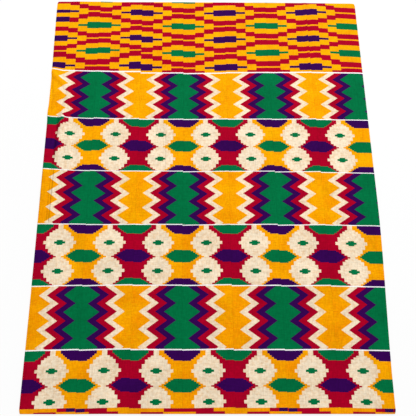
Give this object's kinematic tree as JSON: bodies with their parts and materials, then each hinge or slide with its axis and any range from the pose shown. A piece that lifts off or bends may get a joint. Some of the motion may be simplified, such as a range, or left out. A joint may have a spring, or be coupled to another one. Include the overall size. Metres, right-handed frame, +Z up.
{
  "type": "folded kente cloth",
  "caption": "Length of kente-patterned printed cotton, folded back and forth into a flat stack, with its last end turned under.",
  "frame": {"origin": "middle of the flat underside, on the surface that the cloth lies on", "axes": "+Z up, +Y away from the viewer along the folds, from one selvedge to the other, +X to the right across the folds"},
  "size_m": [0.9343, 1.183, 0.0148],
  "materials": {
    "cloth": "matt printed plain-weave cotton"
  },
  "bodies": {
    "root": {"kente_cloth": "cloth"}
  },
  "joints": []
}
